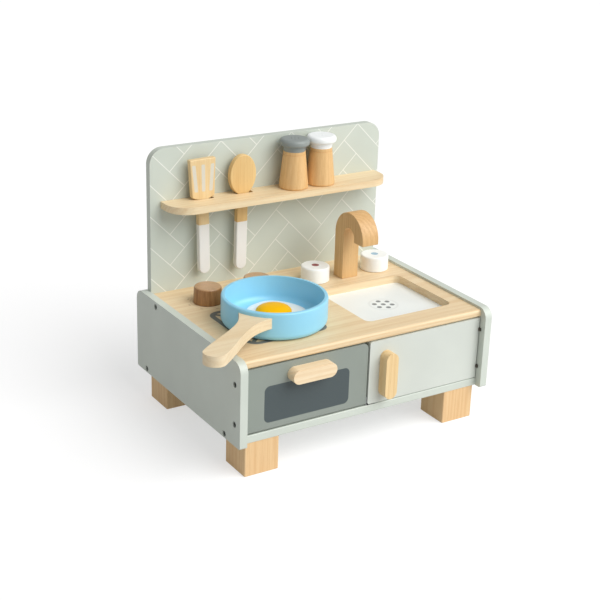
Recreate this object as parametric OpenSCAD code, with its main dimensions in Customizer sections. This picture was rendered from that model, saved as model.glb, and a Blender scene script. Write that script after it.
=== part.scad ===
// Table-top wooden toy kitchen. Millimetres, +Z up, front towards -Y.
// The origin is on the ground, under the middle of the whole object's box;
// the pan handle reaches past the cabinet, so the cabinet itself stands a little off it.

/* [Cabinet] */
// width over both side panels
cabinet_w = 326; // [280:1:380]
// depth of the side panels, front to back
side_depth = 243; // [210:1:280]
// height of the side panels
side_h = 96.5; // [80:0.5:120]
// thickness of the boards
board_t = 9; // [6:0.5:12]
// height of the foot blocks
foot_h = 39; // [20:1:60]
// side of the square foot blocks
foot_w = 41.5; // [25:0.5:50]
// how far the doors, base and worktop stand behind the side panels' front edge
front_recess = 9; // [4:0.5:20]
// how far the back panel stands in front of the side panels' rear edge
rear_recess = 10.5; // [4:0.5:20]
// radius of the side panels' big corners
side_r = 12; // [4:1:20]

/* [Worktop and sink] */
// how far the worktop lies below the side panels' top edges
worktop_drop = 2.8; // [0:0.1:6]
// radius along the worktop's front edge
worktop_nose = 3; // [1:0.5:4]
// sink cut-out, width and depth
sink_w = 117.5; // [80:0.5:125]
sink_d = 105; // [70:1:120]
// corner radius of the sink cut-out
sink_r = 8; // [3:1:20]
// thickness of the white tray under the cut-out
tray_t = 4; // [3:0.5:8]

/* [Back panel and shelf] */
// top of the back panel above the ground
back_top = 302; // [240:1:340]
// radius of the back panel's top corners
back_r = 18; // [5:1:30]
// top face of the shelf above the ground
shelf_top = 241.5; // [200:0.5:270]
// thickness of the shelf
shelf_t = 8; // [6:0.5:10]
// depth of the shelf
shelf_d = 38; // [34:0.5:60]
// radius of the shelf's front corners
shelf_r = 26; // [5:1:34]

/* [Doors] */
// height of the oven door's pivot above the base panel
pivot_up = 5.8; // [5.5:0.1:9]
// bar handles: length, width, how far they stand out
handle_l = 54; // [40:1:70]
handle_w = 16; // [10:0.5:20]
handle_out = 13; // [8:0.5:18]

/* [Tap and knobs] */
// tap: width of its block, depth of its pillar
tap_w = 22.5; // [12:0.5:25]
tap_d = 18.3; // [12:0.1:20]
// outer radius of the tap's arch
tap_r = 28.6; // [22:0.2:35]
// white knobs: radius and height
knob_r = 17; // [10:0.1:18]
knob_h = 18.3; // [10:0.1:22]
// stove knobs: radius at the foot and at the top, height
stove_r = 16.8; // [10:0.1:18]
stove_top_r = 15.6; // [9:0.1:18]
stove_h = 19; // [10:0.1:22]

/* [Pan] */
// outer radius, height and wall of the pan
pan_r = 58.4; // [45:0.2:60]
pan_h = 32; // [20:1:40]
pan_wall = 4.2; // [3:0.2:8]
// direction of the handle, degrees from +X
handle_dir = 217.5; // [180:0.1:260]
// reach of the handle's end from the pan's middle
handle_reach = 170; // [120:1:175]
// thickness of the handle
handle_t = 12; // [8:0.5:15]

/* [Hidden] */
$fn = 96;
half_w = cabinet_w / 2;
inner = half_w - board_t;
y_front = -side_depth / 2;
y_rear = side_depth / 2;
y_face = y_front + front_recess;
y_door_rear = y_face + board_t;
y_back = y_rear - rear_recess;
y_splash = y_back - board_t;
z_base = foot_h;
z_base_top = foot_h + board_t;
z_side_top = foot_h + side_h;
z_top = z_side_top - worktop_drop;
z_under = z_top - board_t;
z_edge_base = z_base + board_t / 2;
z_edge_top = z_top - board_t / 2;
door_z0 = z_base_top + 1.1;
door_z1 = z_under - 0.8;
door_gap = 1;
mid_x = 1.25;
oven_x0 = -inner + door_gap;
oven_x1 = 0;
cup_x0 = 2.5;
cup_x1 = inner - door_gap;
pivot_y = y_face + board_t / 2;
pivot_z = z_base_top + pivot_up;
pin_r = 2;
running = 0.05;
hinge_x = inner - 1;
hinge_y = y_face - 1.5;
hinge_r = 1.2;
hinge_pin_r = 0.6;
hinge_half = 1.75;
knuckle_half = 0.55;
hinge_z = [63.6, 109];
screw_r = 1.6;
head_r = 3.1;
head_t = 1.8;
head_sink = 1.4;
sink_c = [77.25, -30];
tap_c = [78.5, 51.05];
arch_y = tap_c[1] + tap_d / 2 - tap_r;
arch_z = z_top + 56.5;
spout_z = z_top + 52;
hot_c = [37.8, 55.5];
cold_c = [123.5, 56.2];
stove_left_c = [-107.5, 52.5];
stove_right_c = [-43.5, 52.5];
lift = 0.2;
pan_c = [-71, -32.4];
pan_z = z_top + lift;
egg_c = [-67, -22];
egg_z = pan_z + pan_wall + lift;
shelf_x0 = -141;
shelf_x1 = 149;
utensil_t = 7.2;
utensil_y = y_splash - 9.8;
spatula_x = -93.7;
spatula_lean = -1.4;
spoon_x = -42.9;
spoon_lean = 0.8;
slot_w = 22;
slot_d = 9;
slot_right = 2.3;
cap_r = 17.5;
shaker_y = y_splash - cap_r - 0.6;
pepper_x = 21.9;
salt_x = 58.6;
oven_handle_c = [-75, 108.3];
cup_handle_c = [24, 83.2];
oven_points = [for (s = [-14, 14]) oven_handle_c + [s, 0]];
cup_points = [for (s = [-14, 14]) cup_handle_c + [0, s]];
foot_cx = 130.5;
foot_front_y = y_face + 0.5 + foot_w / 2;
foot_rear_y = y_back - foot_w / 2;
foot_screw_y = [foot_front_y - 9, foot_front_y + 9, foot_rear_y - 14, foot_rear_y];
// the pan handle's end, and from it where the cabinet's middle stands from the origin
tip_back = 11;
tip_half = 12.2;
waist_half = 8.8;
tip_u = handle_reach - tip_back;
tip_x = pan_c[0] + tip_u * cos(handle_dir)
    - norm([tip_back * cos(handle_dir), tip_half * sin(handle_dir)]);
tip_y = pan_c[1] + tip_u * sin(handle_dir)
    - norm([tip_back * sin(handle_dir), tip_half * cos(handle_dir)]);
cabinet_x = -(half_w + min(-half_w, tip_x)) / 2;
cabinet_y = -(y_rear + min(y_face - handle_out, tip_y)) / 2;
// side screws: y, z, how far the shank reaches in from the panel's outer face
side_points = [
    [72.6, z_edge_top + 1.2, 23], [-80, z_edge_top, 23],
    [97.4, z_edge_base, 23], [-88, z_edge_base, 23],
    [-109.4, hinge_z[0], 8.2], [-109.4, hinge_z[1], 8.2]
];
// back screws: x, z
back_points = [
    [-120, z_edge_top], [0, z_edge_top], [120, z_edge_top],
    [-120, z_edge_base], [0, z_edge_base], [120, z_edge_base],
    [-115, shelf_top - shelf_t / 2], [4, shelf_top - shelf_t / 2], [118, shelf_top - shelf_t / 2],
    [mid_x, 66], [mid_x, 106]
];

// ---------- shared shapes ----------

// everything is drawn about the cabinet's own middle and set down from the origin here
module place() {
    translate([cabinet_x, cabinet_y, 0])
        children();
}

module corner_cut(x, y, r, turn) {
    if (r > 0)
        translate([x, y])
            rotate(turn)
                difference() {
                    translate([-1, -1])
                        square([r + 1, r + 1]);
                    translate([r, r])
                        circle(r = r);
                }
}

// rectangle from corner a to corner b with its own radius at each corner,
// given as lower left, lower right, upper right, upper left
module plate2d(a, b, r) {
    difference() {
        translate(a)
            square([b[0] - a[0], b[1] - a[1]]);
        corner_cut(a[0], a[1], r[0], 0);
        corner_cut(b[0], a[1], r[1], 90);
        corner_cut(b[0], b[1], r[2], 180);
        corner_cut(a[0], b[1], r[3], 270);
    }
}

// a flat shape drawn in Y and Z, pulled along +X
module along_x(x0, x1) {
    translate([x0, 0, 0])
        rotate([90, 0, 90])
            linear_extrude(height = x1 - x0)
                children();
}

// a flat shape drawn in X and Z, pulled from y0 towards the front
module towards_front(y0, depth) {
    translate([0, y0, 0])
        rotate([90, 0, 0])
            linear_extrude(height = depth)
                children();
}

// screw along +Z: z = 0 is the surface it is driven into, reach is where the shank ends
module screw(reach) {
    difference() {
        union() {
            translate([0, 0, head_sink])
                cylinder(r = head_r, h = head_t);
            translate([0, 0, head_sink])
                cylinder(r = screw_r, h = reach - head_sink);
        }
        translate([-2, -0.35, head_sink - 1])
            cube([4, 0.7, 1.9]);
        translate([-0.35, -2, head_sink - 1])
            cube([0.7, 4, 1.9]);
    }
}

module screw_hole(reach) {
    translate([0, 0, -1])
        cylinder(r = head_r + 0.3, h = 1 + head_sink + head_t);
    translate([0, 0, 0.5])
        cylinder(r = screw_r, h = reach - 0.5);
}

module at_side() {
    for (p = side_points)
        translate([half_w, p[0], p[1]])
            rotate([0, -90, 0])
                if ($holes)
                    screw_hole(p[2]);
                else
                    screw(p[2]);
}

module side_holes(left) {
    $holes = true;
    mirror([left ? 1 : 0, 0, 0])
        at_side();
}

module at_back() {
    for (p = back_points)
        translate([p[0], y_back, p[1]])
            rotate([90, 0, 0])
                if ($holes)
                    screw_hole(28);
                else
                    screw(28);
}

module back_holes() {
    $holes = true;
    at_back();
}

module at_feet() {
    for (sx = [-1, 1], y = foot_screw_y)
        translate([sx * foot_cx, y, z_base_top])
            rotate([180, 0, 0])
                if ($holes)
                    screw_hole(30);
                else
                    screw(30);
}

module foot_holes() {
    $holes = true;
    at_feet();
}

module at_tray() {
    for (x = [-63, 63], y = [-30, 30])
        translate([sink_c[0] + x, sink_c[1] + y, z_under - tray_t])
            if ($holes)
                small_hole();
            else
                small_screw();
}

module small_screw() {
    cylinder(r = 2.6, h = 1.4);
    cylinder(r = 1.4, h = 10);
}

module small_hole() {
    translate([0, 0, -1])
        cylinder(r = 2.6, h = 2.4);
    cylinder(r = 1.4, h = 10);
}

module tray_holes() {
    $holes = true;
    at_tray();
}

// handle screws: driven from the door's rear face towards the front
module at_handle(points) {
    for (p = points)
        translate([p[0], y_door_rear, p[1]])
            rotate([90, 0, 0])
                if ($holes)
                    screw_hole(18);
                else
                    screw(18);
}

module handle_holes(points) {
    $holes = true;
    at_handle(points);
}

// ---------- cabinet ----------

module side_outline() {
    plate2d([y_front, z_base], [y_rear, z_side_top], [2, 3, side_r, side_r]);
}

module left_side_panel() {
    color("#a2a79e")
        difference() {
            along_x(-half_w, -inner)
                side_outline();
            side_holes(true);
            translate([-half_w + 3, pivot_y, pivot_z])
                rotate([0, 90, 0])
                    cylinder(r = pin_r, h = board_t);
        }
}

module right_side_panel() {
    color("#a2a79e")
        difference() {
            along_x(inner, half_w)
                side_outline();
            side_holes(false);
            for (z = hinge_z)
                translate([inner - 1, hinge_y - hinge_r - 0.3, z - hinge_half])
                    cube([1.8, 10, 2 * hinge_half]);
        }
}

module base_panel() {
    color("#c9d0c6")
        difference() {
            along_x(-inner, inner)
                plate2d([y_face, z_base], [y_splash, z_base_top], [1, 0, 0, 1]);
            side_holes(true);
            side_holes(false);
            back_holes();
            foot_holes();
            bracket_foot();
            bracket_screw_holes();
        }
}

module divider_panel() {
    color("#c9d0c6")
        difference() {
            translate([mid_x - board_t / 2, y_door_rear + 1.3, z_base_top])
                cube([board_t, y_splash - y_door_rear - 1.3, z_under - z_base_top]);
            back_holes();
        }
}

module back_panel() {
    color("#c5cdbf")
        difference() {
            towards_front(y_back, board_t)
                plate2d([-inner, z_base], [inner, back_top], [0, 0, back_r, back_r]);
            back_holes();
        }
}

module worktop_outline() {
    plate2d([y_face, z_under], [y_splash, z_top], [worktop_nose, 0, 0, worktop_nose]);
}

module sink_outline() {
    plate2d(
        [sink_c[0] - sink_w / 2, sink_c[1] - sink_d / 2],
        [sink_c[0] + sink_w / 2, sink_c[1] + sink_d / 2],
        [sink_r, sink_r, sink_r, sink_r]
    );
}

module worktop() {
    color("#e3c796")
        difference() {
            along_x(-inner, inner)
                worktop_outline();
            translate([0, 0, z_under - 1])
                linear_extrude(height = board_t + 2)
                    sink_outline();
            for (c = [hot_c, cold_c, stove_left_c, stove_right_c])
                translate([c[0], c[1], z_under - 1])
                    cylinder(r = pin_r + 0.08, h = board_t + 2);
            tap_dowel_shape();
            side_holes(true);
            side_holes(false);
            back_holes();
            tray_holes();
        }
}

module sink_tray() {
    color("#eef0ea")
        difference() {
            translate([0, 0, z_under - tray_t])
                linear_extrude(height = tray_t)
                    plate2d(
                        [sink_c[0] - 67.5, sink_c[1] - 62],
                        [sink_c[0] + 67.5, sink_c[1] + 62],
                        [3, 3, 3, 3]
                    );
            tray_holes();
        }
}

module foot(sx, y) {
    color("#e6c796")
        difference() {
            translate([sx * foot_cx, y, 0])
                linear_extrude(height = foot_h)
                    plate2d(
                        [-foot_w / 2, -foot_w / 2], [foot_w / 2, foot_w / 2],
                        [1.5, 1.5, 1.5, 1.5]
                    );
            foot_holes();
        }
}

module shelf() {
    color("#e3c796")
        difference() {
            translate([0, 0, shelf_top - shelf_t])
                linear_extrude(height = shelf_t)
                    difference() {
                        plate2d(
                            [shelf_x0, y_splash - shelf_d], [shelf_x1, y_splash],
                            [shelf_r, shelf_r, 0, 0]
                        );
                        for (x = [spatula_x + slot_right, spoon_x + slot_right])
                            plate2d(
                                [x - slot_w / 2, utensil_y - slot_d / 2],
                                [x + slot_w / 2, utensil_y + slot_d / 2],
                                [2, 2, 2, 2]
                            );
                    }
            back_holes();
        }
}

module side_screws() {
    $holes = false;
    color("#4a4d4b") {
        at_side();
        mirror([1, 0, 0])
            at_side();
    }
}

module back_screws() {
    $holes = false;
    color("#4a4d4b")
        at_back();
}

module foot_screws() {
    $holes = false;
    color("#4a4d4b")
        at_feet();
}

module tray_screws() {
    $holes = false;
    color("#4a4d4b")
        at_tray();
}

// ---------- doors ----------

// the pivot bracket: a tab in the gap between the doors, standing on a foot let into the base
module bracket_foot() {
    translate([0.5, pivot_y - 4, z_base_top - 1.2])
        cube([14, 8, 1.2]);
}

module bracket_screw_holes() {
    translate([10, pivot_y, z_base_top - 7])
        cylinder(r = 1.3, h = 7.5);
}

module oven_pivot_bracket() {
    color("#7a7d7a") {
        difference() {
            union() {
                bracket_foot();
                translate([0.5, pivot_y - 4, z_base_top - 1.2])
                    cube([1, 8, pivot_up + 5]);
                translate([-8, pivot_y, pivot_z])
                    rotate([0, 90, 0])
                        cylinder(r = pin_r, h = 9);
            }
            translate([10, pivot_y, z_base_top - 2])
                cylinder(r = 1.3, h = 3);
        }
        translate([10, pivot_y, z_base_top - 7])
            cylinder(r = 1.3, h = 7);
    }
}

module oven_hinge_pin() {
    color("#7a7d7a")
        translate([-half_w + 3, pivot_y, pivot_z])
            rotate([0, 90, 0])
                cylinder(r = pin_r, h = board_t - 3 + door_gap + 8);
}

module oven_door() {
    color("#9aa298")
        difference() {
            intersection() {
                towards_front(y_door_rear, board_t)
                    plate2d([oven_x0, door_z0], [oven_x1, door_z1], [0, 0, 6, 6]);
                along_x(oven_x0, oven_x1)
                    plate2d([y_face, door_z0], [y_door_rear, door_z1], [2.4, 3, 0, 0]);
            }
            translate([oven_x0 - 1, pivot_y, pivot_z])
                rotate([0, 90, 0])
                    cylinder(r = pin_r + running, h = 10);
            translate([oven_x1 - 9, pivot_y, pivot_z])
                rotate([0, 90, 0])
                    cylinder(r = pin_r + running, h = 10);
            handle_holes(oven_points);
        }
}

module bar_handle(c, upright, points) {
    color("#efd6a8")
        difference() {
            translate([c[0], y_face, c[1]])
                rotate([90, upright ? -90 : 0, 0])
                    linear_extrude(height = handle_out)
                        union() {
                            for (s = [-1, 1])
                                translate([s * (handle_l - handle_w) / 2, 0])
                                    circle(r = handle_w / 2);
                            square([handle_l - handle_w, handle_w], center = true);
                        }
            handle_holes(points);
        }
}

module oven_handle() {
    bar_handle(oven_handle_c, false, oven_points);
}

module oven_handle_screws() {
    $holes = false;
    color("#4a4d4b")
        at_handle(oven_points);
}

module cupboard_door() {
    color("#d3d9d1")
        difference() {
            towards_front(y_door_rear, board_t)
                plate2d([cup_x0, door_z0], [cup_x1, door_z1], [2.5, 0, 0, 2.5]);
            handle_holes(cup_points);
            for (z = hinge_z)
                translate([cup_x1 - 0.8, y_face - 1, z - hinge_half])
                    cube([1.8, 8.4, 2 * hinge_half]);
        }
}

module cupboard_handle() {
    bar_handle(cup_handle_c, true, cup_points);
}

module cupboard_handle_screws() {
    $holes = false;
    color("#4a4d4b")
        at_handle(cup_points);
}

// the leaf let into the door's edge, with the middle knuckle
module cupboard_hinge_door_leaves() {
    color("#4f4a42")
        for (z = hinge_z)
            translate([0, 0, z])
                difference() {
                    union() {
                        translate([cup_x1 - 0.8, y_face, -hinge_half])
                            cube([0.8, 7.4, 2 * hinge_half]);
                        translate([cup_x1 - 0.8, hinge_y, -knuckle_half])
                            cube([0.8, 4, 2 * knuckle_half]);
                        translate([hinge_x, hinge_y, -knuckle_half])
                            cylinder(r = hinge_r, h = 2 * knuckle_half);
                    }
                    translate([hinge_x, hinge_y, -2])
                        cylinder(r = hinge_pin_r + running, h = 4);
                }
}

// the leaf let into the side panel, with the outer knuckles and the pin
module cupboard_hinge_frame_leaves() {
    color("#4f4a42")
        for (z = hinge_z)
            translate([0, 0, z]) {
                difference() {
                    translate([inner, hinge_y - hinge_r, -hinge_half])
                        cube([0.8, 9.4, 2 * hinge_half]);
                    translate([inner - 1, hinge_y - hinge_r - 1, -knuckle_half - 0.2])
                        cube([3, 4.6, 2 * knuckle_half + 0.4]);
                }
                for (s = [-hinge_half, knuckle_half + 0.2])
                    translate([hinge_x, hinge_y, s])
                        cylinder(r = hinge_r, h = hinge_half - knuckle_half - 0.2);
                translate([hinge_x, hinge_y, -hinge_half])
                    cylinder(r = hinge_pin_r, h = 2 * hinge_half);
            }
}

// ---------- tap and knobs ----------

module tap_dowel_shape() {
    translate([tap_c[0], tap_c[1], z_under + 1])
        cylinder(r = 4, h = 22);
}

module tap_dowel() {
    color("#dcbf8c")
        tap_dowel_shape();
}

module tap_spout() {
    color("#dcb377")
        difference() {
            along_x(tap_c[0] - tap_w / 2, tap_c[0] + tap_w / 2)
                union() {
                    translate([tap_c[1] - tap_d / 2, z_top])
                        square([tap_d, arch_z - z_top]);
                    translate([arch_y - tap_r, spout_z])
                        square([tap_d, arch_z - spout_z]);
                    difference() {
                        translate([arch_y, arch_z])
                            circle(r = tap_r);
                        translate([arch_y, arch_z])
                            circle(r = tap_r - tap_d);
                        translate([arch_y - tap_r - 1, arch_z - tap_r - 1])
                            square([2 * tap_r + 2, tap_r + 1]);
                    }
                }
            tap_dowel_shape();
        }
}

module knob_screw(c) {
    color("#8a8c8a")
        translate([c[0], c[1], 0]) {
            translate([0, 0, z_under - 2.2])
                cylinder(r = 3.4, h = 1.9);
            knob_bore([0, 0]);
        }
}

module knob_bore(c) {
    translate([c[0], c[1], z_under - 0.3])
        cylinder(r = pin_r, h = board_t + 12.3);
}

module white_knob(c) {
    color("#f1efe6")
        difference() {
            translate([c[0], c[1], z_top + 0.3])
                rotate_extrude()
                    plate2d([0, 0], [knob_r, knob_h], [0, 0.8, 2, 0]);
            knob_bore(c);
        }
}

module stove_knob(c) {
    color("#8f653f")
        difference() {
            translate([c[0], c[1], z_top + 0.3]) {
                cylinder(r1 = stove_r, r2 = stove_top_r, h = stove_h - 2.5);
                translate([0, 0, stove_h - 2.5])
                    rotate_extrude()
                        plate2d([0, 0], [stove_top_r, 2.5], [0, 0, 2.2, 0]);
            }
            knob_bore(c);
        }
}

// ---------- pan and egg ----------

module pan_body() {
    color("#a5d5ea")
        difference() {
            translate([pan_c[0], pan_c[1], pan_z])
                rotate_extrude()
                    difference() {
                        plate2d([0, 0], [pan_r, pan_h], [0, 7, 1.9, 0]);
                        plate2d(
                            [-1, pan_wall], [pan_r - pan_wall, pan_h + 1],
                            [0, 6, 0, 0]
                        );
                    }
            pan_dowel_shape();
        }
}

// half the handle's width at a distance u from the pan's middle
function bar_half(u) = u < 95
    ? waist_half + 9.2 * pow((95 - u) / 38, 2.4)
    : waist_half + (tip_half - waist_half) * pow(sin(min(90, (u - 95) * 1.5)), 2);
function end_half(u) = u < tip_u
    ? bar_half(u)
    : bar_half(u) * sqrt(max(0, 1 - pow((u - tip_u) / tip_back, 2)));
bar_steps = [for (i = [0:24]) 50 + (tip_u - 50) * i / 24];
end_steps = [for (a = [10:10:80]) tip_u + tip_back * sin(a)];
bar_u = concat(bar_steps, end_steps);

module bar_outline() {
    polygon(concat(
        [for (u = bar_u) [u, end_half(u)]],
        [[handle_reach, 0]],
        [for (i = [len(bar_u) - 1:-1:0]) [bar_u[i], -end_half(bar_u[i])]]
    ));
}

module pan_handle() {
    color("#ead4aa")
        difference() {
            translate([pan_c[0], pan_c[1], pan_z + pan_h - 4.6 - handle_t])
                rotate(handle_dir)
                    linear_extrude(height = handle_t)
                        bar_outline();
            translate([pan_c[0], pan_c[1], pan_z])
                cylinder(r = pan_r, h = pan_h);
            pan_dowel_shape();
        }
}

module pan_dowel_shape() {
    translate([pan_c[0], pan_c[1], pan_z + pan_h - 4.6 - handle_t / 2])
        rotate([0, 0, handle_dir])
            rotate([0, 90, 0])
                translate([0, 0, pan_r - 3])
                    cylinder(r = 3, h = 22);
}

module pan_handle_dowel() {
    color("#dcbf8c")
        pan_dowel_shape();
}

module egg_white() {
    color("#f4f4ee")
        translate([egg_c[0], egg_c[1], egg_z])
            linear_extrude(height = 3.5)
                union() {
                    translate([5, 1])
                        circle(r = 30);
                    translate([18, 5])
                        circle(r = 19.5);
                    translate([-7.5, 5])
                        circle(r = 22);
                    translate([7, -11.5])
                        circle(r = 22);
                    translate([2, 13])
                        circle(r = 21);
                }
}

module egg_yolk() {
    cap_h = 6.8;
    cap_r = 20;
    ball_r = (cap_r * cap_r + cap_h * cap_h) / (2 * cap_h);
    color("#fbc100")
        intersection() {
            translate([egg_c[0] + 1, egg_c[1] - 1, egg_z + 3.5 + cap_h - ball_r])
                sphere(r = ball_r);
            translate([egg_c[0] - 30, egg_c[1] - 30, egg_z + 3.5])
                cube([60, 60, 20]);
        }
}

// ---------- utensils ----------

module handle_bar_2d(w, z0, z1) {
    translate([0, z0 + w / 2])
        circle(r = w / 2);
    translate([-w / 2, z0 + w / 2])
        square([w, z1 - z0 - w / 2]);
}

module spatula() {
    color("#e8c48c")
        translate([spatula_x, utensil_y + utensil_t / 2, shelf_top + lift])
            rotate([0, spatula_lean, 0])
                towards_front(0, utensil_t)
                    union() {
                        polygon([
                            [-6.8, -0.6], [6.8, -0.6], [14.2, 2.4],
                            [16.4, 46.4], [-16.4, 46.4], [-14.2, 2.4]
                        ]);
                        handle_bar_2d(13.6, -90, 1);
                    }
}

module spoon() {
    color("#e8c48c")
        translate([spoon_x, utensil_y + utensil_t / 2, shelf_top + lift])
            rotate([0, spoon_lean, 0])
                towards_front(0, utensil_t)
                    union() {
                        polygon([for (a = [0:7.5:352.5]) [17 * cos(a), 21.3 + 23.6 * sin(a)]]);
                        handle_bar_2d(14, -92.5, 6);
                    }
}

module shaker_body(x) {
    color("#d9b27c")
        translate([x, shaker_y, shelf_top + lift])
            difference() {
                union() {
                    cylinder(r1 = cap_r - 1.2, r2 = cap_r - 0.2, h = 1.6);
                    translate([0, 0, 1.6])
                        cylinder(r1 = cap_r - 0.2, r2 = 12.9, h = 42.4);
                }
                translate([0, 0, 34])
                    cylinder(r = 5, h = 11);
                translate([0, 0, 40])
                    rotate_extrude()
                        translate([12.8, 0])
                            square([3, 0.8]);
            }
}

module shaker_cap(x, tint) {
    color(tint)
        translate([x, shaker_y, shelf_top + lift])
            difference() {
                union() {
                    translate([0, 0, 34])
                        cylinder(r = 5, h = 12);
                    translate([0, 0, 44])
                        cylinder(r1 = 12.6, r2 = 13.6, h = 7);
                    translate([0, 0, 50])
                        rotate_extrude()
                            plate2d([0, 0], [cap_r, 8.5], [0, 3.2, 4, 0]);
                }
                for (a = [0:60:300])
                    rotate(a)
                        translate([4.6, 0, 55.5])
                            cylinder(r = 0.8, h = 4);
                translate([0, 0, 55.5])
                    cylinder(r = 0.8, h = 4);
            }
}

// ---------- output ----------

place() left_side_panel();
place() right_side_panel();
place() base_panel();
place() back_panel();
place() divider_panel();
place() worktop();
place() sink_tray();
place() foot(-1, foot_front_y);  // foot_front_left
place() foot(1, foot_front_y);  // foot_front_right
place() foot(-1, foot_rear_y);  // foot_rear_left
place() foot(1, foot_rear_y);  // foot_rear_right
place() shelf();
place() tap_spout();
place() tap_dowel();
place() stove_knob(stove_left_c);  // stove_knob_left
place() stove_knob(stove_right_c);  // stove_knob_right
place() white_knob(hot_c);  // hot_knob
place() white_knob(cold_c);  // cold_knob
place() knob_screw(stove_left_c);  // stove_knob_left_screw
place() knob_screw(stove_right_c);  // stove_knob_right_screw
place() knob_screw(hot_c);  // hot_knob_screw
place() knob_screw(cold_c);  // cold_knob_screw
place() oven_door();
place() oven_handle();
place() oven_handle_screws();
place() oven_hinge_pin();
place() oven_pivot_bracket();
place() cupboard_door();
place() cupboard_handle();
place() cupboard_handle_screws();
place() cupboard_hinge_door_leaves();
place() cupboard_hinge_frame_leaves();
place() pan_body();
place() pan_handle();
place() pan_handle_dowel();
place() egg_white();
place() egg_yolk();
place() spatula();
place() spoon();
place() shaker_body(pepper_x);  // pepper_body
place() shaker_cap(pepper_x, "#7d8480");  // pepper_cap
place() shaker_body(salt_x);  // salt_body
place() shaker_cap(salt_x, "#f1f1ea");  // salt_cap
place() side_screws();
place() back_screws();
place() foot_screws();
place() tray_screws();
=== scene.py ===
"""Look of the wooden toy kitchen: materials, prints, rounded pieces, studio and camera.

Patterns and prints are in millimetres from the cabinet's middle. Meshes are in metres.
"""

import math

import bmesh
import bpy
from mathutils import Matrix, Vector


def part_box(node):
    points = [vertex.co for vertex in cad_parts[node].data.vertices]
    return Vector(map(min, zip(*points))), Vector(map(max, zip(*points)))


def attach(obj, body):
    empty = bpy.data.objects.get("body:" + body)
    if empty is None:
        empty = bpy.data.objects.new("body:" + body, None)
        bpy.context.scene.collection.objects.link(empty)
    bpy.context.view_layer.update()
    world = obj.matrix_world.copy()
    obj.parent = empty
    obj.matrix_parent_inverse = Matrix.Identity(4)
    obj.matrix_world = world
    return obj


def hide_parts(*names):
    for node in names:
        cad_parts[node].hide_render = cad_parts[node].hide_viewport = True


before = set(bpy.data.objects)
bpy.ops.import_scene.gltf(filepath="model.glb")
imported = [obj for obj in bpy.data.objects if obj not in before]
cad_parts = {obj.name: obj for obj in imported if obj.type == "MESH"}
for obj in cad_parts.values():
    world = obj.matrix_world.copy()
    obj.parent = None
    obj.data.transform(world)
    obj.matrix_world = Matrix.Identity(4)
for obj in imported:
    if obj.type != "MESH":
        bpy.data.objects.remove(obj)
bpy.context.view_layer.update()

MM = 0.001
BEHIND_BASE = 5.25 * MM  # how far the cabinet's middle lies behind the base panel's
base_lo, base_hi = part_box("base_panel")
CAB = Vector(((base_lo.x + base_hi.x) / 2, (base_hi.y + base_lo.y) / 2 + BEHIND_BASE, 0))


def box_mm(node):
    """A CAD node's corners in millimetres from the cabinet's middle."""
    lo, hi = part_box(node)
    return (lo - CAB) / MM, (hi - CAB) / MM


# ---------- the material builder ----------


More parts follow.
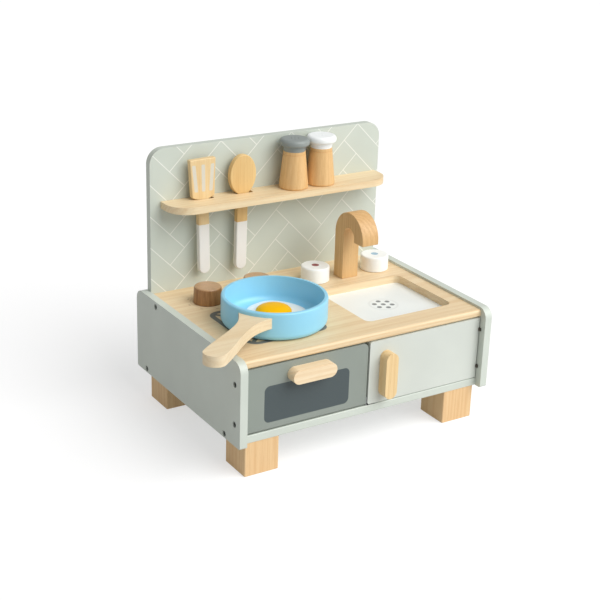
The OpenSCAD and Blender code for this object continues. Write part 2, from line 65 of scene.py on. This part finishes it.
class Surface:
    """A node material whose coordinates are millimetres from the cabinet's middle.

    Its methods take numbers or sockets, add shader nodes, and return a socket.
    """

    NOISE_SHIFT = (1, 0.7, 1.3)  # how far a shift of 1 moves a noise along x, y and z
    MIX_COLOURS = (6, 7)  # the Mix node's two colour inputs
    MIX_RESULT = 2  # and its colour output
    EDGE_SAMPLES = 4
    EDGE_TURN = (0.01, 0.12)  # 1 minus the two normals' dot product, where an edge starts and is full

    def __init__(self, name, specular=0.5):
        self.mat = bpy.data.materials.new(name)
        self.mat.use_nodes = True
        self.tree = self.mat.node_tree
        self.tree.nodes.clear()
        out = self.add("ShaderNodeOutputMaterial")
        self.shader = self.add("ShaderNodeBsdfPrincipled")
        self.tree.links.new(self.shader.outputs[0], out.inputs[0])
        self.put(self.shader, "Specular IOR Level", specular)
        coords = self.add("ShaderNodeTexCoord")
        shift = self.add("ShaderNodeVectorMath")
        shift.operation = "SUBTRACT"
        self.put(shift, 0, coords.outputs["Object"])
        self.put(shift, 1, tuple(CAB))
        scale = self.add("ShaderNodeVectorMath")
        scale.operation = "SCALE"
        self.put(scale, 0, shift.outputs[0])
        self.put(scale, "Scale", 1 / MM)
        self.p = scale.outputs[0]
        split = self.add("ShaderNodeSeparateXYZ")
        self.put(split, 0, self.p)
        self.x, self.y, self.z = split.outputs

    def add(self, kind):
        return self.tree.nodes.new(kind)

    def put(self, node, slot, value):
        """Links a socket, or sets a constant, on one of the node's inputs."""
        if isinstance(value, bpy.types.NodeSocket):
            self.tree.links.new(value, node.inputs[slot])
        else:
            node.inputs[slot].default_value = value

    def math(self, op, a, b=0.0, clamp=False):
        n = self.add("ShaderNodeMath")
        n.operation = op
        n.use_clamp = clamp
        self.put(n, 0, a)
        self.put(n, 1, b)
        return n.outputs[0]

    def plus(self, a, b):
        return self.math("ADD", a, b)

    def minus(self, a, b):
        return self.math("SUBTRACT", a, b)

    def times(self, a, b):
        return self.math("MULTIPLY", a, b)

    def least(self, a, b):
        return self.math("MINIMUM", a, b)

    def most(self, a, b):
        return self.math("MAXIMUM", a, b)

    def abs(self, a):
        return self.math("ABSOLUTE", a)

    def length(self, a, b):
        return self.math("SQRT", self.plus(self.times(a, a), self.times(b, b)))

    def inside(self, distance, limit, soft):
        """1 where distance is under limit, 0 where it is over, with an edge soft wide."""
        return self.math("DIVIDE", self.minus(limit, distance), soft, clamp=True)

    def band(self, distance, middle, half, soft):
        """1 where distance is within half of middle, 0 elsewhere."""
        return self.inside(self.abs(self.minus(distance, middle)), half, soft)

    def upper_face(self, top, depth=0.5, soft=0.2):
        """1 from the height top down to depth mm below it, 0 lower down."""
        return self.inside(self.times(self.z, -1.0), depth - top, soft)

    def front_face(self, front, depth=0.5, soft=0.2):
        """1 from the plane y = front to depth mm behind it, 0 further back."""
        return self.inside(self.y, front + depth, soft)

    def rounded(self, a, b, half_a, half_b, r):
        """Signed distance to a rounded rectangle about 0,0."""
        qa = self.plus(self.abs(a), r - half_a)
        qb = self.plus(self.abs(b), r - half_b)
        out = self.length(self.most(qa, 0.0), self.most(qb, 0.0))
        return self.minus(self.plus(out, self.least(self.most(qa, qb), 0.0)), r)

    def noise(self, size, stretch=(1, 1, 1), detail=3.0, rough=0.5, shift=0.0):
        """Noise with features about size mm wide, longer where stretch is above 1."""
        place = self.add("ShaderNodeMapping")
        self.put(place, 0, self.p)
        self.put(place, "Location", [shift * way for way in self.NOISE_SHIFT])
        self.put(place, "Scale", [1 / (size * s) for s in stretch])
        n = self.add("ShaderNodeTexNoise")
        self.put(n, "Vector", place.outputs[0])
        self.put(n, "Scale", 1.0)
        self.put(n, "Detail", detail)
        self.put(n, "Roughness", rough)
        return n.outputs[0]

    def ramp(self, value, lo, hi):
        """value from lo to hi, mapped smoothly to 0 to 1."""
        n = self.add("ShaderNodeMapRange")
        n.interpolation_type = "SMOOTHSTEP"
        self.put(n, 0, value)
        self.put(n, 1, lo)
        self.put(n, 2, hi)
        return n.outputs[0]

    def mix(self, amount, a, b):
        """Colour a where amount is 0, colour b where it is 1."""
        n = self.add("ShaderNodeMix")
        n.data_type = "RGBA"
        self.put(n, 0, amount)
        for slot, colour in zip(self.MIX_COLOURS, (a, b)):
            linked = isinstance(colour, bpy.types.NodeSocket)
            self.put(n, slot, colour if linked else (*colour, 1))
        return n.outputs[self.MIX_RESULT]

    def edges(self, radius):
        """1 along edges, 0 on the flats."""
        bevel = self.add("ShaderNodeBevel")
        bevel.samples = self.EDGE_SAMPLES
        self.put(bevel, "Radius", radius * MM)
        geometry = self.add("ShaderNodeNewGeometry")
        dot = self.add("ShaderNodeVectorMath")
        dot.operation = "DOT_PRODUCT"
        self.put(dot, 0, bevel.outputs[0])
        self.put(dot, 1, geometry.outputs["Normal"])
        return self.ramp(self.minus(1.0, dot.outputs["Value"]), *self.EDGE_TURN)

    def bump(self, height, depth, strength):
        """Relief from a height of 0 to 1 that stands for depth mm."""
        n = self.add("ShaderNodeBump")
        self.put(n, "Strength", strength)
        self.put(n, "Distance", depth * MM)
        self.put(n, "Height", height)
        self.put(self.shader, "Normal", n.outputs[0])

    def finish(self, colour, rough):
        """Gives the shader its colour and roughness, and returns the material."""
        self.put(self.shader, "Base Color", colour)
        self.put(self.shader, "Roughness", rough)
        return self.mat


# ---------- colours ----------


def srgb(r, g, b):
    """A screen colour, 0 to 255, as the linear one a shader takes."""
    out = []
    for v in (r, g, b):
        v /= 255
        out.append(v / 12.92 if v <= 0.04045 else ((v + 0.055) / 1.055) ** 2.4)
    return tuple(out)


def shade(colour, factor, lift=0.0):
    """The colour times factor plus lift, at most 1."""
    return tuple(min(1, c * factor + lift) for c in colour)


HOT_RED = srgb(150, 62, 62)
COLD_BLUE = srgb(160, 194, 214)
JOINT_WHITE = srgb(240, 241, 234)
HOB_GREY = srgb(92, 104, 108)
DIAL_BROWN = srgb(150, 112, 76)
WINDOW_GREY = srgb(70, 81, 84)
DRAIN_GREY = srgb(84, 90, 90)
# painted light: a paler tan that makes the stove knobs' tops look lit from above
KNOB_LIT_TOP_BROWN = srgb(222, 192, 152)
DIP_WHITE = srgb(238, 236, 230)
STRIPE_WHITE = srgb(214, 213, 202)


# ---------- wood, paint and metal ----------


def grain(s, pale, deep, along, shift, heart):
    """Wood colour and height: rings about a far heart, streaks, slow drift and pores."""
    ring_width, ring_wander = 2.6, 22.0
    ring_share, streak_share, drift_share = 0.26, 0.38, 0.36

    def drawn_out(factor):
        return [factor if axis == along else 1.0 for axis in "xyz"]

    across = [v for axis, v in zip("xyz", (s.x, s.y, s.z)) if axis != along]
    wander = s.noise(26, drawn_out(14.0), detail=2.0, shift=shift)
    ring_r = s.length(s.plus(across[0], heart[0]), s.plus(across[1], heart[1]))
    rings = s.math("PINGPONG", s.plus(ring_r, s.times(wander, ring_wander)), ring_width)
    streak = s.noise(1.3, drawn_out(40.0), detail=4.0, rough=0.65, shift=shift + 3)
    drift = s.noise(38, drawn_out(14.0), detail=2.0, shift=shift + 9)
    pore = s.noise(0.42, drawn_out(22.0), detail=2.0, shift=shift + 5)
    pore = s.ramp(pore, 0.62, 0.74)
    tone = s.times(s.ramp(rings, 0.6, 2.5), ring_share)
    tone = s.plus(tone, s.times(s.ramp(streak, 0.3, 0.72), streak_share))
    tone = s.plus(tone, s.times(s.ramp(drift, 0.3, 0.7), drift_share))
    colour = s.mix(tone, pale, deep)
    colour = s.mix(s.times(pore, 0.28), colour, shade(deep, 0.62))
    height = s.minus(s.times(streak, 0.6), s.times(pore, 0.5))
    return colour, height


def wood(name, pale, deep, along, shift, heart, rough=0.46, print_or_painted_light=None):
    """Lacquered wood with slightly darker rubbed edges, and an optional print, or painted light, over
    it.
    """
    s = Surface(name)
    colour, height = grain(s, pale, deep, along, shift, heart)
    worn = s.times(s.edges(0.7), s.ramp(s.noise(9, shift=shift), 0.35, 0.7))
    colour = s.mix(s.times(worn, 0.3), colour, shade(pale, 0.82))
    if print_or_painted_light:
        colour = print_or_painted_light(s, colour)
    s.bump(height, depth=0.09, strength=0.35)
    gloss_drift = s.times(s.noise(3, shift=shift + 2), 0.16)
    return s.finish(colour, s.plus(gloss_drift, rough - 0.08))


def paint(name, tint, rough, shift, wear, specular=0.5, print_or_painted_light=None):
    """Sprayed paint: slow tone drift, specks, fine spray texture, edges rubbed a little."""
    s = Surface(name, specular)
    drift = s.ramp(s.noise(55, detail=2.0, shift=shift), 0.3, 0.7)
    colour = s.mix(drift, shade(tint, 0.975), shade(tint, 1.02))
    speck = s.ramp(s.noise(0.5, detail=2.0, shift=shift + 4), 0.66, 0.8)
    colour = s.mix(s.times(speck, 0.06), colour, shade(tint, 0.7))
    worn = s.times(s.edges(0.55), s.ramp(s.noise(6, shift=shift + 1), 0.42, 0.68))
    colour = s.mix(s.times(worn, wear), colour, shade(tint, 1.25, lift=0.02))
    if print_or_painted_light:
        colour = print_or_painted_light(s, colour)
    spray = s.plus(s.noise(0.9, shift=shift + 7), s.noise(4.5, detail=1.0))
    s.bump(spray, depth=0.05, strength=0.22)
    gloss_drift = s.times(s.noise(2.2, shift=shift + 6), 0.12)
    return s.finish(colour, s.plus(gloss_drift, rough - 0.06))


def steel(name, tint, rough, shift):
    """Metal with fine marks in its colour, relief and gloss, and brighter edges."""
    s = Surface(name)
    s.put(s.shader, "Metallic", 0.85)
    marks = s.noise(0.3, (1, 1, 6), rough=0.6, shift=shift)
    colour = s.mix(s.ramp(marks, 0.3, 0.7), shade(tint, 0.8), tint)
    colour = s.mix(s.times(s.edges(0.25), 0.5), colour, shade(tint, 1.9, lift=0.03))
    s.bump(marks, depth=0.02, strength=0.3)
    return s.finish(colour, s.plus(s.times(marks, 0.2), rough - 0.1))


# ---------- prints, and painted light on the knob tops ---
# Each takes a surface and its colour so far, and returns the colour with the print on it; the one for
# the stove knobs' tops paints light on them instead.


def tile_lines(s, colour):
    """Herringbone joint lines across the back panel's front face."""
    start_x, start_z = -111.25, 182.25
    repeat_x, repeat_z = 93.1, 36.8
    joint_run, joint_lead = 64.9, 18.4
    joint_half = 0.85
    rise_x = s.math("FLOORED_MODULO", s.plus(s.x, joint_lead - start_x), repeat_x)
    rise_x = s.minus(rise_x, joint_lead)
    fall_x = s.math("FLOORED_MODULO", s.minus(s.x, start_x), repeat_x)
    fall_x = s.minus(fall_x, repeat_x)
    up = s.minus(s.z, start_z)
    rise = s.math("PINGPONG", s.minus(up, rise_x), repeat_z / 2)
    fall = s.math("PINGPONG", s.plus(up, fall_x), repeat_z / 2)
    rise_end = s.inside(rise_x, joint_run - joint_lead, 0.4)
    fall_end = s.inside(s.times(fall_x, -1.0), joint_run, 0.4)
    lines = s.most(
        s.times(s.inside(rise, joint_half, 0.35), rise_end),
        s.times(s.inside(fall, joint_half, 0.35), fall_end),
    )
    face = s.front_face(box_mm("back_panel")[0].y)
    thin = s.plus(0.68, s.times(s.noise(3.0), 0.2))
    return s.mix(s.times(s.times(lines, face), thin), colour, JOINT_WHITE)


def from_middle(s, node):
    """x and y measured from a CAD node's middle."""
    lo, hi = box_mm(node)
    return s.minus(s.x, (lo.x + hi.x) / 2), s.minus(s.y, (lo.y + hi.y) / 2)


def hob_marks(s):
    """A rounded square frame with diagonal bars that end at a burner ring."""
    middle_x, middle_y = -76.5, -28.5
    half, corner = 50.5, 14
    frame_half, bar_half = 3.2, 3.4
    burner_r, burner_half = 25.0, 2.4
    x, y = s.minus(s.x, middle_x), s.minus(s.y, middle_y)
    edge = s.rounded(x, y, half, half, corner)
    outline = s.band(edge, -frame_half, frame_half, 0.3)
    diagonal = s.least(s.abs(s.minus(x, y)), s.abs(s.plus(x, y)))
    bars = s.times(s.inside(diagonal, bar_half, 0.4), s.inside(edge, -3.0, 0.3))
    bars = s.times(bars, s.minus(1.0, s.inside(s.length(x, y), burner_r, 0.3)))
    burner = s.band(s.length(x, y), burner_r, burner_half, 0.3)
    return s.most(outline, s.most(bars, burner))


def dial_marks(s, node):
    """A circle round a stove knob, with eight ticks outside it."""
    circle_r, circle_half = 19.8, 0.5
    tick_r, tick_half, tick_half_angle = 23.0, 1.2, 0.09
    x, y = from_middle(s, node)
    d = s.length(x, y)
    circle = s.band(d, circle_r, circle_half, 0.4)
    turn = s.math("PINGPONG", s.math("ARCTAN2", y, x), math.pi / 8)
    ticks = s.times(s.inside(turn, tick_half_angle, 0.02), s.band(d, tick_r, tick_half, 0.4))
    return s.most(circle, ticks)


def top_prints(s, colour):
    """The hob and the faint dials about the stove knobs, on the worktop's upper face."""
    face = s.upper_face(box_mm("worktop")[1].z)
    for node in ("stove_knob_left", "stove_knob_right"):
        faint = s.times(s.times(dial_marks(s, node), face), 0.45)
        colour = s.mix(faint, colour, DIAL_BROWN)
    return s.mix(s.times(s.times(hob_marks(s), face), 0.9), colour, HOB_GREY)


def window_print(s, colour):
    """The dark oven window on the door's front face."""
    middle_x, middle_z = -76.3, 78.75
    half_wide, half_high, corner = 53, 21.25, 6.5
    x, z = s.minus(s.x, middle_x), s.minus(s.z, middle_z)
    pane = s.inside(s.rounded(x, z, half_wide, half_high, corner), 0.0, 0.3)
    pane = s.times(pane, s.front_face(box_mm("oven_door")[0].y))
    return s.mix(s.times(pane, 0.96), colour, WINDOW_GREY)


def drain_print(s, colour):
    """A dark dot with six about it, and a faint ring, on the sink tray."""
    middle_x, middle_y = 78.0, -29.0
    dot_r, circle_r = 3.1, 10.3
    ring_r, ring_half = 16.5, 2.0
    x, y = s.minus(s.x, middle_x), s.minus(s.y, middle_y)
    d = s.length(x, y)
    centre = s.inside(d, dot_r, 0.4)
    turn = s.plus(s.math("ARCTAN2", x, y), math.tau)
    turn = s.math("PINGPONG", turn, math.pi / 6)
    aside = s.times(s.math("SINE", turn), d)
    outward = s.minus(s.times(s.math("COSINE", turn), d), circle_r)
    dots = s.most(centre, s.inside(s.length(aside, outward), dot_r, 0.4))
    ring = s.times(s.band(d, ring_r, ring_half, 1.8), 0.1)
    return s.mix(s.most(s.times(dots, 0.82), ring), colour, DRAIN_GREY)


def dot_print(node, tint):
    """A round dot in the middle of a knob's top."""
    dot_r = 4.6

    def add(s, colour):
        dot = s.inside(s.length(*from_middle(s, node)), dot_r, 0.4)
        face = s.upper_face(box_mm(node)[1].z, depth=0.6)
        return s.mix(s.times(dot, face), colour, tint)

    return add


def painted_lit_top(s, colour):
    """The stove knobs' upper faces, painted paler than their sides: painted light on the tops."""
    face = s.upper_face(box_mm("stove_knob_left")[1].z, depth=1.2, soft=0.6)
    return s.mix(s.times(face, 0.34), colour, KNOB_LIT_TOP_BROWN)


def dipped(level, shift):
    """White paint on a utensil's handle end, below a slightly uneven level."""

    def add(s, colour):
        line = s.plus(s.z, s.times(s.noise(5, shift=shift), 0.8))
        return s.mix(s.inside(line, level, 0.3), colour, DIP_WHITE)

    return add


def spatula_print(s, colour):
    """The dipped handle end, and three pale stripes that fan out up the blade's front face."""
    lean = math.radians(-1.4)
    blade_aside, stripe_up = 1.3, 24.6
    stripe_gap, stripe_fan = 8.3, 0.09
    half_wide, half_high, corner = 2.3, 15.8, 1.6
    lo, hi = box_mm("spatula")
    up = s.minus(s.z, box_mm("shelf")[1].z)
    across = s.minus(s.x, (lo.x + hi.x) / 2 + blade_aside)
    across = s.minus(across, s.times(up, math.sin(lean)))
    stripes = 0.0
    for side in (-1, 0, 1):
        off = s.minus(across, s.plus(s.times(up, side * stripe_fan), side * stripe_gap))
        edge = s.rounded(off, s.minus(up, stripe_up), half_wide, half_high, corner)
        stripes = s.most(stripes, s.inside(edge, 0.0, 0.3))
    stripes = s.times(stripes, s.front_face(lo.y))
    colour = dipped(level=211.5, shift=3)(s, colour)
    return s.mix(s.times(stripes, 0.85), colour, STRIPE_WHITE)


# ---------- the kitchen's materials ----------

# Pale tone, deep tone, grain direction, shift of the pattern, and heart of the rings.
WOODS = {
    "worktop": ((242, 223, 187), (222, 190, 144), "x", 2, (40, 55)),
    "shelf": ((240, 222, 186), (222, 190, 142), "x", 40, (70, -120)),
    "foot": ((240, 208, 160), (221, 177, 124), "z", 11, (90, 20)),
    "tap": ((230, 192, 136), (200, 154, 98), "z", 55, (-40, 30)),
    "handle": ((246, 226, 192), (228, 194, 146), "x", 70, (160, -60)),
    "handle_up": ((242, 214, 162), (220, 180, 122), "z", 75, (20, 150)),
    "pan_handle": ((238, 221, 188), (224, 198, 156), "x", 90, (90, -90)),
    "brown": ((184, 136, 88), (122, 80, 42), "z", 33, (150, -20)),
    "spatula": ((236, 210, 160), (220, 184, 128), "z", 120, (110, 0)),
    "spoon": ((236, 204, 142), (216, 174, 110), "z", 140, (60, 20)),
    "shaker": ((234, 194, 136), (212, 166, 106), "z", 160, (-10, -90)),
}

# Name, tint, roughness, shift of the pattern, and how strongly the edges are rubbed.
SAGE = (206, 213, 203)
KNOB_WHITE = (251, 254, 252)
PAINTS = {
    "sage": ("sage_board", SAGE, 0.42, 0, 0.22),
    "sage_right": ("sage_board_right", SAGE, 0.42, 31, 0.22),
    "pale": ("pale_board", SAGE, 0.42, 8, 0.22),
    "cupboard": ("cupboard_paint", (209, 214, 206), 0.42, 12, 0.22),
    "oven": ("oven_paint", (144, 152, 144), 0.42, 17, 0.22),
    "splash": ("splash_board", (202, 209, 198), 0.42, 23, 0.22),
    "tray": ("tray_paint", (240, 244, 241), 0.35, 5, 0.1),
    "pan": ("pan_paint", (148, 213, 240), 0.36, 44, 0.08),
    "white": ("white_paint", (249, 252, 251), 0.4, 66, 0.08),
    "hot": ("hot_knob_paint", KNOB_WHITE, 0.4, 67, 0.08),
    "cold": ("cold_knob_paint", KNOB_WHITE, 0.4, 68, 0.08),
    "grey": ("grey_paint", (142, 149, 146), 0.42, 81, 0.15),
    "egg": ("egg_white_paint", (243, 246, 242), 0.4, 91, 0.0),
    "yolk": ("egg_yolk_paint", (252, 190, 0), 0.38, 95, 0.0),
}

# Name, tint, roughness, and shift of the pattern.
METALS = {
    "screw": ("dark_screw", (84, 88, 88), 0.45, 0),
    "bright": ("bright_steel", (190, 192, 192), 0.3, 5),
    "hinge": ("dark_hinge", (104, 98, 88), 0.45, 9),
}

# What some woods and paints have besides.
EXTRAS = {
    "worktop": {"print_or_painted_light": top_prints},
    "foot": {"rough": 0.55},
    # the brown knobs' paler tops are painted light, laid on like a print
    "brown": {"rough": 0.32, "print_or_painted_light": painted_lit_top},
    "spatula": {"print_or_painted_light": spatula_print},
    "spoon": {"print_or_painted_light": dipped(level=208.0, shift=9)},
    "oven": {"print_or_painted_light": window_print},
    "splash": {"print_or_painted_light": tile_lines},
    "tray": {"print_or_painted_light": drain_print},
    "hot": {"print_or_painted_light": dot_print("hot_knob", HOT_RED)},
    "cold": {"print_or_painted_light": dot_print("cold_knob", COLD_BLUE)},
    "yolk": {"specular": 0.1},
}


def materials():
    """Every material, by the short name that the tables use."""
    made = {}
    for key, (pale, deep, *pattern) in WOODS.items():
        extras = EXTRAS.get(key, {})
        made[key] = wood(f"{key}_wood", srgb(*pale), srgb(*deep), *pattern, **extras)
    for key, (name, tint, *finish) in PAINTS.items():
        made[key] = paint(name, srgb(*tint), *finish, **EXTRAS.get(key, {}))
    for key, (name, tint, *finish) in METALS.items():
        made[key] = steel(name, srgb(*tint), *finish)
    return made


MATERIALS = materials()


# ---------- CAD nodes that keep their shape ----------

WELD_GAP = 2e-6
FLAT_ANGLE = math.radians(0.5)
SHARP_ANGLE = math.radians(35)
ROUND_STEPS = 3
FACES_KEPT = ("cupboard_door",)  # its front shades with a dark line once its faces are joined

CORNERS = ("front_left", "front_right", "rear_left", "rear_right")
KNOBS = ("stove_knob_left", "stove_knob_right", "hot_knob", "cold_knob")

# A material, how far the edges are rounded in millimetres, and the nodes that take both.
FINISHES = (
    ("sage", 0.9, ["left_side_panel"]),
    ("sage_right", 0.9, ["right_side_panel"]),
    ("pale", 0.6, ["base_panel"]),
    ("pale", 0.5, ["divider_panel"]),
    ("splash", 0.9, ["back_panel"]),
    ("worktop", 0.7, ["worktop"]),
    ("tray", 0.4, ["sink_tray"]),
    ("shelf", 1.0, ["shelf"]),
    ("foot", 0.7, [f"foot_{corner}" for corner in CORNERS]),
    ("tap", 1.3, ["tap_spout"]),
    ("oven", 0.6, ["oven_door"]),
    ("cupboard", 0.6, ["cupboard_door"]),
    ("handle", 1.6, ["oven_handle"]),
    ("handle_up", 1.6, ["cupboard_handle"]),
    ("handle", 0, ["tap_dowel", "pan_handle_dowel"]),
    ("brown", 0.5, ["stove_knob_left", "stove_knob_right"]),
    ("hot", 0.3, ["hot_knob"]),
    ("cold", 0.3, ["cold_knob"]),
    ("pan", 0.4, ["pan_body"]),
    ("pan_handle", 2.6, ["pan_handle"]),
    ("spatula", 1.2, ["spatula"]),
    ("spoon", 1.2, ["spoon"]),
    ("shaker", 0.3, ["pepper_body", "salt_body"]),
    ("grey", 0.3, ["pepper_cap"]),
    ("white", 0.3, ["salt_cap"]),
    ("screw", 0.12, ["side_screws", "back_screws", "foot_screws", "tray_screws"]),
    ("screw", 0.12, ["oven_handle_screws", "cupboard_handle_screws"]),
    ("hinge", 0.12, ["cupboard_hinge_door_leaves", "cupboard_hinge_frame_leaves"]),
    ("bright", 0, ["oven_hinge_pin"]),
    ("bright", 0.15, ["oven_pivot_bracket"]),
    ("bright", 0.15, [f"{knob}_screw" for knob in KNOBS]),
)


def soften(obj, width, join):
    """Joins the imported faces, rounds the sharp edges and smooths the shading."""
    for poly in obj.data.polygons:
        poly.use_smooth = True
    weld = obj.modifiers.new("weld", "WELD")
    weld.merge_threshold = WELD_GAP
    if join:
        flat = obj.modifiers.new("flat", "DECIMATE")
        flat.decimate_type = "DISSOLVE"
        flat.angle_limit = FLAT_ANGLE
    bevel = obj.modifiers.new("round", "BEVEL")
    bevel.width = width * MM
    bevel.segments = ROUND_STEPS
    bevel.limit_method = "ANGLE"
    bevel.angle_limit = SHARP_ANGLE
    bevel.use_clamp_overlap = True
    even = obj.modifiers.new("even", "WEIGHTED_NORMAL")
    even.weight = 100
    even.keep_sharp = False


def dress(node, material, width):
    """Gives a CAD node its material, and rounds its edges unless width is 0."""
    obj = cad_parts[node]
    obj.data.materials.clear()
    obj.data.materials.append(MATERIALS[material])
    if width:
        soften(obj, width, join=node not in FACES_KEPT)


for material, width, nodes in FINISHES:
    for node in nodes:
        dress(node, material, width)


# ---------- pieces built here ----------

EGG_TURNS = 120  # points in each ring of the egg


def show(obj):
    bpy.context.scene.collection.objects.link(obj)


def skin(levels):
    """Vertices and faces of a closed shape from rings of points, capped at both ends."""
    turns = len(levels[0])
    verts = [point for level in levels for point in level]
    faces = []
    for k in range(len(levels) - 1):
        a, b = k * turns, (k + 1) * turns
        for i in range(turns):
            j = (i + 1) % turns
            faces.append((a + i, a + j, b + j, b + i))
    faces.append(tuple(range(turns)))
    faces.append(tuple(range(len(verts) - turns, len(verts))))
    return verts, faces


def piece(name, levels, material, body, node):
    """A skin over the levels that stands for a CAD node and rides on its body."""
    verts, faces = skin(levels)
    mesh = bpy.data.meshes.new(name)
    mesh.from_pydata(verts, [], faces)
    bm = bmesh.new()
    bm.from_mesh(mesh)
    bmesh.ops.recalc_face_normals(bm, faces=bm.faces)
    bm.to_mesh(mesh)
    bm.free()
    for poly in mesh.polygons:
        poly.use_smooth = True
    mesh.materials.append(MATERIALS[material])
    obj = bpy.data.objects.new(name, mesh)
    show(obj)
    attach(obj, body)
    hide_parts(node)


def egg_white():
    """An uneven puddle with a round rim, and a low top that swells in three places."""
    lo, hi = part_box("egg_white")
    mid, half, high = (lo + hi) / 2, (hi - lo) / 2, hi.z - lo.z
    even_share, wave_share = 0.95, 0.7
    # Each wave of the outline: how often it comes, its size, and where it starts.
    waves = ((2, 0.045, 0.4), (3, 0.05, 1.9), (5, 0.022, 0.8), (7, 0.012, 2.6))
    swell_size, swell_start = 0.25 * MM, 1.0
    foot_clear = 0.3 * MM  # lifts the middle of the underside, so that its swell clears the pan
    rim_height, rim_tuck = 0.42, 0.09
    shoulder_height, shoulder_tuck = 0.5, 0.3

    def ring(share, z):
        out = []
        for i in range(EGG_TURNS):
            t = math.tau * i / EGG_TURNS
            swing = sum(size * math.cos(n * t + start) for n, size, start in waves)
            r = (even_share + swing * wave_share) * share
            swell = swell_size * math.sin(3 * t + swell_start) * (1 - share)
            x = mid.x + half.x * r * math.cos(t)
            y = mid.y + half.y * r * math.sin(t)
            out.append((x, y, z + swell))
        return out

    quarter = [step * math.pi / 16 for step in range(1, 9)]
    levels = [ring(0.05, lo.z + foot_clear), ring(0.9, lo.z)]
    for a in quarter:
        z = lo.z + high * rim_height * (1 - math.cos(a))
        levels.append(ring(1 - rim_tuck * (1 - math.sin(a)), z))
    for a in quarter:
        z = lo.z + high * (rim_height + shoulder_height * math.sin(a))
        levels.append(ring(1 - shoulder_tuck * (1 - math.cos(a)), z))
    levels += [ring(0.5, lo.z + high * 0.97), ring(0.25, hi.z), ring(0.05, hi.z)]
    piece("egg_white_soft", levels, "egg", "egg", "egg_white")


def egg_yolk():
    """A low dome whose foot sits a little inside the white."""
    lo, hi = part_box("egg_yolk")
    mid, half, high = (lo + hi) / 2, (hi.x - lo.x) / 2, hi.z - lo.z
    foot_z = lo.z - 0.6 * MM
    squeeze_y, fullness = 0.97, 0.8

    def ring(share, z):
        out = []
        for i in range(EGG_TURNS):
            t = math.tau * i / EGG_TURNS
            x = mid.x + half * share * math.cos(t)
            y = mid.y + half * share * math.sin(t) * squeeze_y
            out.append((x, y, z))
        return out

    levels = [ring(0.05, foot_z), ring(0.93, foot_z)]
    for step in range(17):
        a = step * math.pi / 32
        levels.append(ring(0.02 + 0.98 * math.cos(a) ** fullness, lo.z + high * math.sin(a)))
    piece("egg_yolk_dome", levels, "yolk", "egg", "egg_yolk")


egg_white()
egg_yolk()


# ---------- studio and camera ----------


def floor():
    """A pale floor that glows a little, and more to the camera, so it shows white."""
    size, drop = 8, 0.2 * MM
    glow, seen_glow = 0.14, 0.4
    mesh = bpy.data.meshes.new("floor")
    bm = bmesh.new()
    bmesh.ops.create_grid(bm, x_segments=1, y_segments=1, size=size)
    bm.to_mesh(mesh)
    bm.free()
    s = Surface("floor", specular=0.0)
    tone = s.ramp(s.noise(600, detail=1.0), 0.3, 0.7)
    seen = s.add("ShaderNodeLightPath").outputs["Is Camera Ray"]
    s.put(s.shader, "Emission Color", (1, 1, 1, 1))
    s.put(s.shader, "Emission Strength", s.plus(s.times(seen, seen_glow), glow))
    colour = s.mix(tone, (0.5, 0.5, 0.5), (0.52, 0.52, 0.52))
    mesh.materials.append(s.finish(colour, rough=0.9))
    obj = bpy.data.objects.new("floor", mesh)
    obj.location.z = -drop
    show(obj)


def room():
    """A dim white room, brighter to the camera so that it shows white."""
    lit, seen_extra = 0.41, 0.6
    world = bpy.data.worlds.new("studio")
    world.use_nodes = True
    tree = world.node_tree
    back = tree.nodes["Background"]
    back.inputs["Color"].default_value = (1, 1, 1, 1)
    seen = tree.nodes.new("ShaderNodeLightPath").outputs["Is Camera Ray"]
    power = tree.nodes.new("ShaderNodeMath")
    power.operation = "MULTIPLY_ADD"
    power.inputs[1].default_value = seen_extra
    power.inputs[2].default_value = lit
    tree.links.new(seen, power.inputs[0])
    tree.links.new(power.outputs[0], back.inputs["Strength"])
    bpy.context.scene.world = world


def lamp(name, kind, energy, aim):
    """A lamp at the origin that shines along aim."""
    data = bpy.data.lights.new(name, kind)
    data.energy = energy
    obj = bpy.data.objects.new(name, data)
    obj.rotation_euler = Vector(aim).to_track_quat("-Z", "Y").to_euler()
    show(obj)
    return obj


def lamps():
    """A big soft sun from the front right, and a small lamp near the right side."""
    softbox = lamp("softbox", "SUN", energy=2.6, aim=(-0.36, 0.62, -0.70))
    softbox.data.angle = math.radians(55)
    fill = lamp("fill", "AREA", energy=0.6, aim=(-500, 490, -190))
    fill.data.size = 0.45
    fill.location = Vector((500, -430, 330)) * MM + CAB


def camera():
    """The photo's viewpoint, looking down a little from the front left."""
    place = Vector((-760.0, -1161.9, 683.4)) * MM + CAB
    forward = Vector((0.50051, 0.78329, -0.36872)).normalized()
    roll = math.radians(1.84)
    data = bpy.data.cameras.new("camera")
    data.lens = 78.7
    data.sensor_width = 36
    data.clip_start = 0.05
    data.clip_end = 30
    right = forward.cross(Vector((0, 0, 1))).normalized()
    up = right.cross(forward)
    side = right * math.cos(roll) + up * math.sin(roll)
    top = up * math.cos(roll) - right * math.sin(roll)
    turn = Matrix((side, top, -forward)).transposed().to_4x4()
    obj = bpy.data.objects.new("camera", data)
    obj.matrix_world = Matrix.Translation(place) @ turn
    show(obj)
    bpy.context.scene.camera = obj


def plain_view():
    """Colours shown as they are, with no film look."""
    view = bpy.context.scene.view_settings
    view.view_transform = "Standard"
    view.look = "None"


floor()
room()
lamps()
camera()
plain_view()
